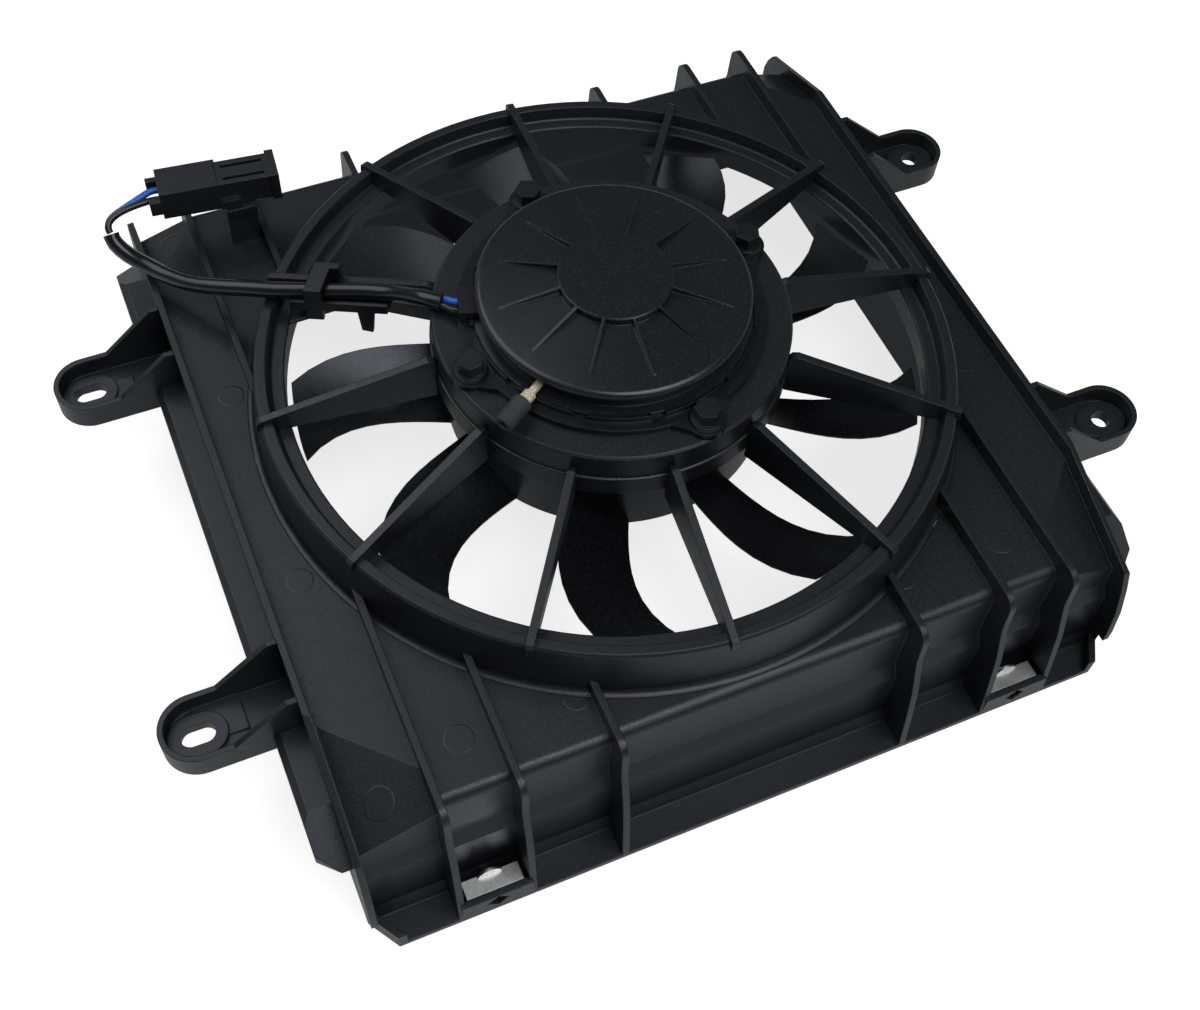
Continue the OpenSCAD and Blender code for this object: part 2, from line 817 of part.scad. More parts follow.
// Brush plate with four brush boxes, held inside the can's mouth
brush_z = commutator_z + 2;
brush_len = 11;
brush_w = 7;
brush_h = 6.7;
spring_l = 11.4;
spring_r = 2.6;
box_wall = 2.2;
brush_x = commutator_r + seat_gap;
box_l = brush_len + spring_l + 2 * seat_gap;
module brush_plate() {
    color(soft_black)
        difference() {
            union() {
                translate([0, 0, brush_z - box_wall - 0.8])
                    cylinder(h = box_wall + 0.4, r = can_r - can_wall - seat_gap, $fn = 120);
                for (i = [0 : 3])
                    rotate([0, 0, 45 + 90 * i])
                        translate([brush_x + 2, -brush_w / 2 - box_wall, brush_z - 1])
                            cube([box_l, brush_w + 2 * box_wall, brush_h + 1 + 1.5 * box_wall]);
            }
            translate([0, 0, brush_z - 2 * box_wall])
                cylinder(h = brush_h + 5 * box_wall, r = commutator_r + 1.5);
            for (i = [0 : 3])
                rotate([0, 0, 45 + 90 * i])
                    translate([brush_x, -brush_w / 2 - seat_gap, brush_z])
                        cube([box_l, brush_w + 2 * seat_gap, brush_h + 2 * seat_gap]);
        }
}
module brushes() {
    color([0.2, 0.2, 0.2])
        for (i = [0 : 3])
            rotate([0, 0, 45 + 90 * i])
                translate([brush_x, -brush_w / 2, brush_z + seat_gap])
                    cube([brush_len, brush_w, brush_h]);
}
module brush_springs() {
    color(steel)
        for (i = [0 : 3])
            rotate([0, 0, 45 + 90 * i])
                translate([brush_x + brush_len + seat_gap, 0, brush_z + brush_h / 2 + seat_gap])
                    rotate([0, 90, 0])
                        difference() {
                            cylinder(h = spring_l, r = spring_r, $fn = 32);
                            translate([0, 0, -1])
                                cylinder(h = spring_l + 2, r = spring_r - 0.8, $fn = 32);
                        }
}

// Sealed ball bearing, drawn as its outline
module bearing(z) {
    color(steel)
        translate([0, 0, z])
            difference() {
                cylinder(h = bearing_h - seat_gap, r = bearing_r);
                translate([0, 0, -1])
                    cylinder(h = bearing_h + 2, r = shaft_r + fit_gap);
                for (end = [-1, bearing_h - seat_gap - 0.6])
                    translate([0, 0, end])
                        difference() {
                            cylinder(h = 1.6, r = bearing_r - 2);
                            translate([0, 0, -1])
                                cylinder(h = 4, r = shaft_r + 2);
                        }
            }
}
module rear_bearing() {
    bearing(rear_bearing_z);
}
module front_bearing() {
    bearing(front_bearing_z);
}

pin_r = 1.5;
pin_l = 20;
pin_z = hub_low + wall + 4;
shaft_low = hub_low - 5;
module shaft() {
    color(steel)
        difference() {
            translate([0, 0, shaft_low])
                cylinder(h = rear_bearing_z + bearing_h + 0.5 - shaft_low, r = shaft_r);
            translate([0, 0, pin_z])
                rotate([90, 0, 0])
                    cylinder(h = 4 * shaft_r, r = pin_r + fit_gap, center = true, $fn = 32);
        }
}
module drive_pin() {
    color(steel)
        translate([0, 0, pin_z])
            rotate([90, 0, 0])
                cylinder(h = pin_l, r = pin_r, center = true, $fn = 32);
}
module shaft_clip() {
    color(steel)
        translate([0, 0, hub_low - 1.3])
            difference() {
                cylinder(h = 1, r = 2.2 * shaft_r);
                translate([0, 0, -1])
                    cylinder(h = 3, r = shaft_r + fit_gap);
            }
}

// Side faces of a stack of equal rings of n points, from ring 0 to the ring numbered last
function walls(last, n) =
    [for (i = [0 : last - 1]) for (k = [0 : n - 1])
        let (m = (k + 1) % n, a = i * n, b = a + n)
        each [[a + k, a + m, b + k], [a + m, b + m, b + k]]];

// The same, closed by one flat face at each end
function skin(last, n) = concat(
    [[for (k = [n - 1 : -1 : 0]) k]], [[for (k = [0 : n - 1]) last * n + k]], walls(last, n));

// The same, closed at each end by a row of flat faces that follows a curved end
function curved_skin(last, n) = concat(walls(last, n),
    [for (k = [0 : n / 2 - 2]) each [[n - 1 - k, n - 2 - k, k + 1, k],
        last * n * [1, 1, 1, 1] + [k, k + 1, n - 2 - k, n - 1 - k]]]);

// Swept blade: sections on cylinders, pitched and cambered, swept forward at the tip
stations = 9;
chord_steps = 6;
blade_high = plate_z + 13.2;
camber = 2.2;
root_r = hub_r + 0.08;
blade_turn = 43;
function span(i) = i / stations;
function station_r(i) = root_r + (tip_r - root_r) * span(i);
function chord(i) = chord_root + (chord_tip - chord_root) * pow(span(i), 1.5);
function pitch(i) = pitch_root + (pitch_tip - pitch_root) * span(i);
function mid_turn(i) = blade_turn + blade_sweep * pow(span(i), 3);
function section_point(i, u, side) =
    let (r = station_r(i),
         a = mid_turn(i) + (u - 0.5) * chord(i) / r * 180 / PI,
         bow = 4 * u * (1 - u),
         t = blade_t * (0.35 + 0.65 * bow) / 2)
    [r * cos(a), r * sin(a), blade_high - pitch(i) * u - camber * bow + side * t];
function blade_points() = [
    for (i = [0 : stations]) each concat(
        [for (k = [0 : chord_steps]) section_point(i, k / chord_steps, 1)],
        [for (k = [chord_steps : -1 : 0]) section_point(i, k / chord_steps, -1)])];
section_n = 2 * (chord_steps + 1);
module blade() {
    polyhedron(points = blade_points(), faces = curved_skin(stations, section_n));
}

// Fan: cup-shaped hub with a bored boss and lightening holes, and the blades around it
hub_wall = 2.5;
hub_boss_r = 12;
hub_hole_r = 7;
hub_hole_at = 45;
module fan_hub() {
    color(soft_black)
        difference() {
            rotate_extrude($fn = 144)
                polygon([[0, hub_low], [hub_r - 1, hub_low], [hub_r, hub_low + 1], [hub_r, hub_top],
                    [hub_r - hub_wall, hub_top], [hub_r - hub_wall, hub_low + 5],
                    [hub_r - hub_wall - 2, hub_low + hub_wall], [hub_boss_r, hub_low + hub_wall],
                    [hub_boss_r, pin_z], [0, pin_z]]);
            translate([0, 0, hub_low - 1])
                cylinder(h = hub_h, r = shaft_r + fit_gap);
            translate([0, 0, pin_z])
                cube([2 * pin_r + 0.2, pin_l + 1, 2 * pin_r + 0.2], center = true);
            for (i = [0 : 5])
                rotate([0, 0, 60 * i])
                    translate([hub_hole_at, 0, hub_low - 1])
                        cylinder(h = hub_wall + 2, r = hub_hole_r, $fn = 40);
        }
}
module fan_blades() {
    color(soft_black)
        for (i = [0 : blades - 1])
            rotate([0, 0, 360 / blades * i])
                blade();
}

// Hexagon screws with a washer flange, and the inserts that take them
screw_flange_r = bolt_af * 0.75;
screw_flange_h = 2;
screw_head_h = 6;
screw_len = motor_flange_t + insert_h + 1;
module motor_screws() {
    color(satin_black)
        at_screws()
            translate([0, 0, flange_top + eps]) {
                cylinder(h = screw_flange_h, r1 = screw_flange_r, r2 = screw_flange_r - 0.8, $fn = 48);
                translate([0, 0, screw_flange_h - eps])
                    cylinder(h = screw_head_h, r = bolt_af / sqrt(3), $fn = 6);
                translate([0, 0, -screw_len])
                    cylinder(h = screw_len + 1, r = bolt_r - 0.1, $fn = 40);
            }
}
module screw_inserts() {
    color([0.75, 0.62, 0.3])
        at_screws()
            translate([0, 0, seat_top - insert_h + eps])
                difference() {
                    cylinder(h = insert_h - 2 * eps, r = insert_r, $fn = 48);
                    translate([0, 0, -1])
                        cylinder(h = insert_h + 2, r = bolt_r, $fn = 40);
                }
}

// Breather: nipple on the cap's neck, over the can's rim, with a short rubber hose
vent_turn = 213.5;
vent_z = flange_top + 4.5;
stem_r = 1.8;
collar_at = foot_r + 2 - neck_r;
collar_l = 5;
hose_r = 4.3;
hose_l = 12.5;
module along_vent(from) {
    rotate([0, 0, vent_turn])
        translate([from, 0, vent_z])
            rotate([0, 90, 0])
                children();
}
module vent_nipple() {
    color([0.85, 0.82, 0.74])
        along_vent(neck_r + fit_gap)
            difference() {
                union() {
                    cylinder(h = collar_at + collar_l + 5, r = stem_r, $fn = 40);
                    translate([0, 0, collar_at])
                        cylinder(h = collar_l, r = stem_r + 1, $fn = 40);
                }
                translate([0, 0, -1])
                    cylinder(h = 20, r = stem_r - 0.8, $fn = 32);
            }
}
module vent_hose() {
    color(soft_black)
        along_vent(neck_r + collar_at + collar_l + seat_gap)
            difference() {
                union() {
                    cylinder(h = hose_l, r = hose_r, $fn = 40);
                    translate([0, 0, hose_l - eps])
                        cylinder(h = 1.5, r1 = hose_r, r2 = hose_r - 1.2, $fn = 40);
                }
                translate([0, 0, -1])
                    cylinder(h = 2 * hose_l, r = stem_r + fit_gap, $fn = 40);
            }
}

// Grommet block where the two wires leave the cap's neck over the can's rim
grommet_turn = 161;
grommet_out = 65.6;
grommet_low = 2.9;
module cable_grommet() {
    color(soft_black)
        rotate([0, 0, grommet_turn])
            difference() {
                union() {
                    translate([neck_r + seat_gap, -7.5, flange_top + grommet_low])
                        cube([grommet_out - neck_r - seat_gap, 15, 3.4]);
                    translate([foot_r + 1.9, -7.5, flange_top + eps])
                        cube([grommet_out - foot_r - 1.9, 15, grommet_low + 1]);
                }
                cylinder(h = 2 * seat_top, r = neck_r + seat_gap);
            }
}

// A cord is swept along its route as a tube with rings on smooth cubic spans. Near the motor a
// route is given by its share of the way from seat to throat, its angle and its height above
// the rim; near the connector, by its distance from the connector's corner.
cord_sides = 8;
sleeve_start = [[-0.0653, 158.84, 27.5], [-0.0339, 158.27, 27.4], [0.0283, 156.68, 26.6],
    [0.1153, 154.33, 23.4], [0.2157, 151.82, 19.4], [0.3304, 150.03, 16.1], [0.4716, 149.32, 13.6],
    [0.6125, 149.22, 11.7], [0.7552, 149.22, 9.9], [0.9302, 149.16, 7.7], [1.1067, 149.26, 6.0],
    [1.2947, 148.84, 3.4]];
sleeve_end = [[10.8, -47.5, 0.0], [0.8, -37.5, -4.5], [-7.2, -26.0, -8.0], [-13.7, -17.0, -8.5],
    [-20.2, -10.8, -5.5], [-24.3, -5.6, -1.6], [-25.0, -2.2, 1.6]];
blue_start = [[-0.1536, 159.61, 28.8], [-0.1408, 159.61, 28.8], [-0.1160, 158.84, 28.2],
    [-0.0922, 157.84, 27.6], [-0.0790, 157.60, 27.5]];
black_start = [[-0.1529, 163.77, 28.9], [-0.1401, 163.69, 28.8], [-0.1200, 162.92, 28.4],
    [-0.0987, 161.57, 27.9], [-0.0795, 160.68, 27.6], [-0.0658, 160.33, 27.5]];
blue_tail = [[-25.06, -0.58, 0.59], [-25.30, 1.07, 2.13], [-24.00, 3.27, 3.83], [-21.00, 5.00, 5.10],
    [-16.50, 6.50, 6.10], [-11.50, 8.00, 7.00], [-6.50, 10.00, 7.40], [-2.50, 11.50, 7.50],
    [1.25, 11.43, 7.50]];
black_tail = [[-25.06, -3.10, 3.29], [-25.30, -1.47, 4.82], [-24.00, 0.63, 6.37], [-21.00, 2.20, 7.45],
    [-16.50, 3.40, 8.20], [-11.50, 4.40, 8.30], [-6.50, 5.30, 8.00], [-2.50, 5.75, 7.60],
    [0.62, 5.46, 7.50]];
function by_ring(route) = [for (p = route)
    let (r = p[0] < 0 ? seat_r * (1 + p[0]) : seat_r + p[0] * (throat_r - seat_r))
    [r * cos(p[1]), r * sin(p[1]), rim_z + p[2]]];
function by_connector(route) = [for (p = route) [conn_x + p[0], conn_y + p[1], conn_z + p[2]]];
function smooth(p, i, t) =
    let (n = len(p) - 1, a = p[max(i - 1, 0)], b = p[i], c = p[i + 1], d = p[min(i + 2, n)])
    0.5 * (2 * b + (c - a) * t + (2 * a - 5 * b + 4 * c - d) * t * t + (3 * b - a - 3 * c + d) * t * t * t);
function path_of(p, per) = concat(
    [for (i = [0 : len(p) - 2]) for (k = [0 : per - 1]) smooth(p, i, k / per)], [p[len(p) - 1]]);
function unit(v) = v / norm(v);
function heading(q, i) = unit(q[min(i + 1, len(q) - 1)] - q[max(i - 1, 0)]);
function cord_points(q, r) = [
    for (i = [0 : len(q) - 1])
        let (h = heading(q, i), s = unit(cross(h, [0.1, 0.2, 1])), u = cross(s, h))
        for (k = [0 : cord_sides - 1])
            q[i] + r * (cos(360 * k / cord_sides) * s + sin(360 * k / cord_sides) * u)];
module cord(route, r, per) {
    q = path_of(route, per);
    polyhedron(points = cord_points(q, r), faces = skin(len(q) - 1, cord_sides));
}
module cable_sleeve() {
    color(soft_black)
        cord(concat(by_ring(sleeve_start), by_connector(sleeve_end)), sleeve_r, 2);
}
module blue_wire() {
    color([0.1, 0.25, 0.75]) {
        cord(by_ring(blue_start), wire_r, 3);
        cord(by_connector(blue_tail), wire_r, 3);
    }
}
module black_wire() {
    color(soft_black) {
        cord(by_ring(black_start), wire_r, 3);
        cord(by_connector(black_tail), wire_r, 3);
    }
}

// Post on the plate, beside a rear rib, that the connector clips on
post_w = 14;
post_x = -rear_x2 - rib_t / 2 - fit_gap - post_w;
post_y = box_y - 27;

// Two-way sealed connector on its post, turned a little, with the open socket facing +X
conn_x = post_x - 27.8;
conn_y = post_y + 3.5;
conn_z = plate_z + 23.5;
conn_turn = -6;
socket_l = 28;
socket_wall = 3;
socket_inset = 0.9;
wire_pitch = 6;
seal_r = 2.1;
seal_l = 7;
prong_l = 5;
lock_l = 7;
terminal_at = 8;
post_top = conn_z + socket_inset - seat_gap;
module on_connector() {
    translate([conn_x, conn_y, conn_z])
        rotate([0, 0, conn_turn])
            children();
}
module at_wires(from) {
    for (y = [conn_w / 2 - wire_pitch / 2, conn_w / 2 + wire_pitch / 2])
        translate([from, y, conn_h / 2])
            rotate([0, 90, 0])
                children();
}
module connector_housing() {
    color(plastic)
        on_connector()
            difference() {
                union() {
                    cube([conn_l - socket_l, conn_w, conn_h]);
                    translate([conn_l - socket_l - 1, socket_inset, socket_inset])
                        cube([socket_l + 1, conn_w - 2 * socket_inset, conn_h - 2 * socket_inset]);
                    translate([conn_l - 4, 0, 0])
                        cube([4, conn_w, conn_h]);
                    for (y = [0, conn_w - socket_wall])
                        translate([-prong_l, y, socket_wall])
                            cube([prong_l + 1, socket_wall, conn_h / 2]);
                    translate([conn_l / 2 - 1, -1.6, socket_inset])
                        cube([9, 3, 4.5]);
                    translate([conn_l / 2 - 4, conn_w - 1, conn_h - 3])
                        cube([4, 2, 2]);
                }
                translate([conn_l - socket_l + 4, socket_wall, socket_wall + 0.2])
                    cube([socket_l, conn_w - 2 * socket_wall, conn_h - 2 * socket_wall - 0.4]);
                at_wires(-1)
                    cylinder(h = conn_l, r = seal_r + 0.1, $fn = 32);
                for (y = [socket_wall + 0.6, conn_w - socket_wall - 2.4])
                    translate([conn_l - socket_l + 3, y, conn_h / 2])
                        cube([socket_l - 9, 1.8, conn_h]);
            }
}
module connector_lock() {
    color(soft_black)
        on_connector()
            difference() {
                translate([conn_l - socket_l + 4.3, socket_wall + 0.4, socket_wall + 0.6])
                    cube([lock_l, conn_w - 2 * socket_wall - 0.8, conn_h - 2 * socket_wall - 1.2]);
                at_wires(conn_l - socket_l)
                    cylinder(h = 2 * lock_l, r = 1.6, $fn = 32);
            }
}
module wire_seals() {
    color([0.15, 0.35, 0.6])
        on_connector()
            at_wires(seat_gap + 0.1)
                difference() {
                    cylinder(h = seal_l, r = seal_r, $fn = 32);
                    translate([0, 0, -1])
                        cylinder(h = seal_l + 2, r = 1, $fn = 32);
                }
}
module terminals() {
    color(copper)
        on_connector()
            at_wires(terminal_at)
                cylinder(h = conn_l - terminal_at - 8.5, r = 0.9, $fn = 24);
}
module connector_post() {
    color(plastic) {
        translate([post_x, post_y, plate_z + eps])
            cube([post_w, wall, post_top - plate_z - 1]);
        translate([post_x + post_w / 2 - 1.5, post_y + wall - eps, plate_z + eps])
            cube([3, 9, post_top - plate_z - 12]);
        translate([post_x, post_y - wall, post_top - 3.7])
            cube([post_w, 8, 3.7]);
    }
}

// Spring clip nuts in the pockets of the flange
clip_t = 1.2;
clip_depth = 8;
clip_front = flange_y - pocket_wall - seat_gap;
clip_top = pocket_h - 0.5;
clip_tab_r = 5.4;
barrel_r = 4;
barrel_l = 3;
module clip_nut() {
    translate([-clip_w / 2, 0, 0]) {
        translate([0, -clip_front, flange_t + seat_gap])
            cube([clip_w, clip_t, clip_top - flange_t - seat_gap]);
        translate([0, -clip_front, clip_top - clip_t])
            cube([clip_w, clip_depth, clip_t]);
        translate([0, -clip_front + clip_depth - clip_t, flange_t + foot_flare + seat_gap])
            cube([clip_w, clip_t, clip_top - flange_t - foot_flare - seat_gap]);
    }
    for (z = [clip_z, clip_top - 1])
        translate([0, -clip_front + clip_depth, z])
            rotate([90, 0, 0])
                cylinder(h = clip_t, r = clip_tab_r);
    translate([0, -clip_front + clip_depth + barrel_l - clip_t + eps, clip_z])
        rotate([90, 0, 0])
            cylinder(h = barrel_l, r = barrel_r);
}
module clip_nuts() {
    color(steel)
        at_clips()
            difference() {
                clip_nut();
                translate([0, -clip_front - 1, clip_z])
                    rotate([-90, 0, 0])
                        cylinder(h = clip_depth + 5, r = clip_thread_r);
                translate([0, -clip_front - 1, clip_z])
                    rotate([-90, 0, 0])
                        cylinder(h = clip_depth / 2, r = pocket_hole_r);
            }
}

shroud();
fan_ring();
ears();
motor_seat();
spokes();
cable_channel();
motor_can();
motor_cap();
cap_seal();
magnets();
armature();
windings();
commutator();
brush_plate();
brushes();
brush_springs();
rear_bearing();
front_bearing();
shaft();
fan_hub();
fan_blades();
drive_pin();
shaft_clip();
motor_screws();
screw_inserts();
vent_nipple();
vent_hose();
cable_grommet();
blue_wire();
black_wire();
cable_sleeve();
connector_housing();
connector_lock();
wire_seals();
terminals();
connector_post();
clip_nuts();
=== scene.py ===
"""Looks, light and camera for the intercooler fan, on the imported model."""

import json
import math

import bpy
from mathutils import Euler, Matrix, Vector

MM = 0.001

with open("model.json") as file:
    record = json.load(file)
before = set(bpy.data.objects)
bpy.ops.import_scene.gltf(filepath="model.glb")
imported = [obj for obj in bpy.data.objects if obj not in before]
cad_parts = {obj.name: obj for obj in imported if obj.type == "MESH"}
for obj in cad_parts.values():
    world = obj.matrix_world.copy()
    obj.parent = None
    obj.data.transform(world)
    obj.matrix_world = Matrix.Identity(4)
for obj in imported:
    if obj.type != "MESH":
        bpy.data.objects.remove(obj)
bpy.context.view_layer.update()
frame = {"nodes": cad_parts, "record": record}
nodes = frame["nodes"]

# A Mix node's sockets share their names between kinds of data, so they are taken by place
COLOR_A, COLOR_B, COLOR_RESULT = 6, 7, 2
FLOAT_A, FLOAT_B, FLOAT_RESULT = 2, 3, 0

# ---------------------------------------------------------------- camera


def make_camera():
    """The photograph's own viewpoint in the row frame, fitted to points of the picture."""
    data = bpy.data.cameras.new("photo_camera")
    data.sensor_fit = "HORIZONTAL"
    data.sensor_width = 36.0
    data.lens = 45.728
    data.shift_x = -0.0022
    data.shift_y = 0.0009
    data.clip_start = 0.02
    data.clip_end = 30.0
    camera = bpy.data.objects.new("photo_camera", data)
    camera.location = Vector((-197.69, -379.55, 625.06)) * MM
    camera.rotation_euler = Euler([math.radians(a) for a in (32.981, -3.065, -23.345)])
    bpy.context.collection.objects.link(camera)
    bpy.context.scene.camera = camera


# ---------------------------------------------------------------- materials

# Slightly blue tint of what plastic, coat and rubber reflect
COOL = (0.82, 0.89, 1.0, 1.0)

# Painted glints: light flecks in the colour of the plastic's grain, standing in for its sparkle:
# share, band of the noise they take up, and how much brighter than the light tone they are
PAINTED_GLINT_SHARE = 0.8
PAINTED_GLINT_BAND = (0.52, 0.72)
PAINTED_GLINT_GAIN = 2.4

# Ejector pin marks, in metres: height of the step and half the width of its slope
PIN_HEIGHT = 0.00012
PIN_SLOPE = 0.0003

BEVEL_SAMPLES = 4


class Nodes:
    """Short hand for building one material's node tree."""

    def __init__(self, name):
        self.material = bpy.data.materials.new(name)
        self.material.use_nodes = True
        self.tree = self.material.node_tree
        self.shader = self.tree.nodes["Principled BSDF"]
        self.place = self.add("ShaderNodeTexCoord").outputs["Object"]

    def add(self, kind, **settings):
        node = self.tree.nodes.new(kind)
        for key, value in settings.items():
            setattr(node, key, value)
        return node

    def link(self, source, target):
        self.tree.links.new(source, target)

    def noise(self, scale, detail=3.0, rough=0.5):
        """Noise in object space."""
        node = self.add("ShaderNodeTexNoise")
        node.inputs["Scale"].default_value = scale
        node.inputs["Detail"].default_value = detail
        node.inputs["Roughness"].default_value = rough
        self.link(self.place, node.inputs["Vector"])
        return node.outputs["Fac"]

    def span(self, source, low, high, from_low=0.3, from_high=0.7):
        """source mapped from its own range to low..high."""
        node = self.add("ShaderNodeMapRange")
        node.inputs["From Min"].default_value = from_low
        node.inputs["From Max"].default_value = from_high
        node.inputs["To Min"].default_value = low
        node.inputs["To Max"].default_value = high
        self.link(source, node.inputs["Value"])
        return node.outputs["Result"]

    def blend(self, factor, first, second):
        """Colour between first and second by factor. Each may be a colour or a socket."""
        node = self.add("ShaderNodeMix", data_type="RGBA")
        self.link(factor, node.inputs["Factor"])
        for place, value in ((COLOR_A, first), (COLOR_B, second)):
            if isinstance(value, bpy.types.NodeSocket):
                self.link(value, node.inputs[place])
            else:
                node.inputs[place].default_value = (*value, 1.0)
        return node.outputs[COLOR_RESULT]

    def bump(self, height, strength, distance, below):
        """Normal with height raised by distance, in metres, on top of the normal below."""
        node = self.add("ShaderNodeBump")
        node.inputs["Strength"].default_value = strength
        node.inputs["Distance"].default_value = distance
        self.link(height, node.inputs["Height"])
        self.link(below, node.inputs["Normal"])
        return node.outputs["Normal"]

    def pin_marks(self, pins):
        """Height of round marks, given as (x, y, radius) in the row frame."""
        flat = self.add("ShaderNodeVectorMath", operation="MULTIPLY")
        flat.inputs[1].default_value = (1.0, 1.0, 0.0)
        self.link(self.place, flat.inputs[0])
        total = None
        for x, y, radius in pins:
            away = self.add("ShaderNodeVectorMath", operation="DISTANCE")
            away.inputs[1].default_value = (x, y, 0.0)
            self.link(flat.outputs[0], away.inputs[0])
            disc = self.span(
                away.outputs["Value"], 1.0, 0.0, radius - PIN_SLOPE, radius + PIN_SLOPE
            )
            if total is not None:
                both = self.add("ShaderNodeMath", operation="MAXIMUM")
                self.link(total, both.inputs[0])
                self.link(disc, both.inputs[1])
                disc = both.outputs[0]
            total = disc
        return total

    def rounded(self, radius):
        """Softens the light on sharp edges, as a moulded or stamped edge does."""
        node = self.add("ShaderNodeBevel", samples=BEVEL_SAMPLES)
        node.inputs["Radius"].default_value = radius
        return node.outputs["Normal"]

    def reflect(self, level):
        """Strength of the cool reflection."""
        self.shader.inputs["Specular IOR Level"].default_value = level
        self.shader.inputs["Specular Tint"].default_value = COOL

    def finish(self, color, roughness, normal):
        self.link(color, self.shader.inputs["Base Color"])
        self.link(roughness, self.shader.inputs["Roughness"])
        self.link(normal, self.shader.inputs["Normal"])
        return self.material


def plastic(name, dark, light, rough, grain=(1500.0, 0.00002), edge=0.0006, specular=0.5, pins=()):
    """Moulded plastic: slow change of tone, grained skin with painted glints as light flecks in
    its colour, softened edges, and ejector pin marks. grain is the noise's scale and its depth in
    metres."""
    scale, depth = grain
    n = Nodes(name)
    n.reflect(specular)
    tone = n.blend(n.span(n.noise(9.0), 0.0, 1.0), dark, light)
    # Painted glints: lighter flecks mixed into the colour stand in for the sparkle of the grain
    painted_glint = n.span(n.noise(scale * 0.7, detail=2.0, rough=0.6), 0.0, PAINTED_GLINT_SHARE, *PAINTED_GLINT_BAND)
    color = n.blend(painted_glint, tone, [c * PAINTED_GLINT_GAIN for c in light])
    roughness = n.span(n.noise(scale, rough=0.6), *rough)
    skin = n.rounded(edge)
    if pins:
        skin = n.bump(n.pin_marks(pins), strength=1.0, distance=PIN_HEIGHT, below=skin)
    skin = n.bump(n.noise(scale, rough=0.6), strength=0.5, distance=depth, below=skin)
    return n.finish(color, roughness, skin)


def metal(name, dark, light, rough):
    """Bare or plated metal with a fine grain."""
    n = Nodes(name)
    n.shader.inputs["Metallic"].default_value = 1.0
    grain = n.noise(500.0, detail=4.0, rough=0.6)
    color = n.blend(n.span(grain, 0.0, 1.0), dark, light)
    roughness = n.span(n.noise(70.0), *rough)
    skin = n.bump(grain, strength=0.15, distance=0.00003, below=n.rounded(0.0004))
    return n.finish(color, roughness, skin)


def coated(name, dark, light, rough):
    """Thin even coat with faint orange peel. Magnets and carbon brushes have it too."""
    n = Nodes(name)
    n.reflect(0.5)
    color = n.blend(n.span(n.noise(45.0, detail=4.0), 0.0, 1.0), dark, light)
    roughness = n.span(n.noise(210.0), *rough)
    peel = n.noise(700.0, detail=2.0)
    skin = n.bump(peel, strength=0.25, distance=0.00003, below=n.rounded(0.0005))
    return n.finish(color, roughness, skin)


def rubber(name, dark, light):
    """Matt rubber with a fine skin."""
    n = Nodes(name)
    n.reflect(0.35)
    color = n.blend(n.span(n.noise(60.0, detail=4.0), 0.0, 1.0), dark, light)
    roughness = n.span(n.noise(300.0), 0.55, 0.75)
    grain = n.noise(1800.0, detail=2.0)
    skin = n.bump(grain, strength=0.3, distance=0.00004, below=n.rounded(0.0006))
    return n.finish(color, roughness, skin)


def grey(value, tint=0.0):
    """Linear grey, bluer by tint."""
    return (value, value, value * (1.0 + tint))


# Ejector pin marks seen on the plate and the corner panels, mirrored to the other corners
PINS = [
    (side * x * MM, end * y * MM, r * MM)
    for x, y, r in ((160, 51, 5.5), (161, 152, 6), (124, 142, 6), (75, 143, 5))
    for side in (-1, 1)
    for end in (-1, 1)
]

# Material slot of the record: the look it gets
MATERIALS = {
    "moulding": plastic(
        "moulded_black", grey(0.0055, 0.2), grey(0.009, 0.2), (0.3, 0.5),
        grain=(1500.0, 0.0001), edge=0.0008, pins=PINS,
    ),
    "fan_plastic": plastic(
        "gloss_black", grey(0.003, 0.2), grey(0.005, 0.2), (0.26, 0.34),
        grain=(900.0, 0.000003), edge=0.0004, specular=0.42,
    ),
    "can_metal": coated("coated_can", grey(0.004, 0.15), grey(0.006, 0.15), (0.28, 0.38)),
    "cap_plastic": plastic(
        "cap_black", grey(0.006, 0.12), grey(0.008, 0.12), (0.27, 0.32),
        grain=(1200.0, 0.000003), specular=0.55,
    ),
    "screw_black": coated("black_screw", grey(0.005, 0.1), grey(0.008, 0.1), (0.3, 0.42)),
    "insert_brass": metal("insert_brass", (0.5, 0.34, 0.12), (0.7, 0.5, 0.2), (0.25, 0.4)),
    "steel": metal("steel", grey(0.45), grey(0.6), (0.22, 0.36)),
    "spring_steel": metal("zinc_spring_steel", grey(0.5), grey(0.64), (0.32, 0.45)),
    "copper": metal("copper", (0.6, 0.28, 0.14), (0.75, 0.38, 0.2), (0.25, 0.4)),
    "magnet": coated("magnet", grey(0.02), grey(0.035), (0.5, 0.7)),
    "carbon": coated("carbon", grey(0.015), grey(0.025), (0.5, 0.7)),
    "nipple_plastic": plastic(
        "nipple_beige", (0.42, 0.37, 0.28), (0.52, 0.46, 0.36), (0.4, 0.5)
    ),
    "hose_rubber": rubber("hose_rubber", grey(0.026), grey(0.04)),
    "blue_insulation": plastic(
        "blue_insulation", (0.012, 0.07, 0.36), (0.018, 0.1, 0.46), (0.3, 0.4), edge=0.0002
    ),
    "black_insulation": plastic(
        "black_insulation", grey(0.006), grey(0.009), (0.25, 0.35), edge=0.0002
    ),
    "sleeve_plastic": plastic(
        "sleeve_black", grey(0.004, 0.1), grey(0.007, 0.1), (0.18, 0.28), edge=0.0002
    ),
    "connector_plastic": plastic(
        "connector_black", grey(0.008, 0.15), grey(0.012, 0.15), (0.3, 0.38),
        grain=(1500.0, 0.00001), edge=0.0005,
    ),
    "seal_rubber": rubber("wire_seal", (0.01, 0.04, 0.16), (0.015, 0.06, 0.22)),
}

# ---------------------------------------------------------------- shading

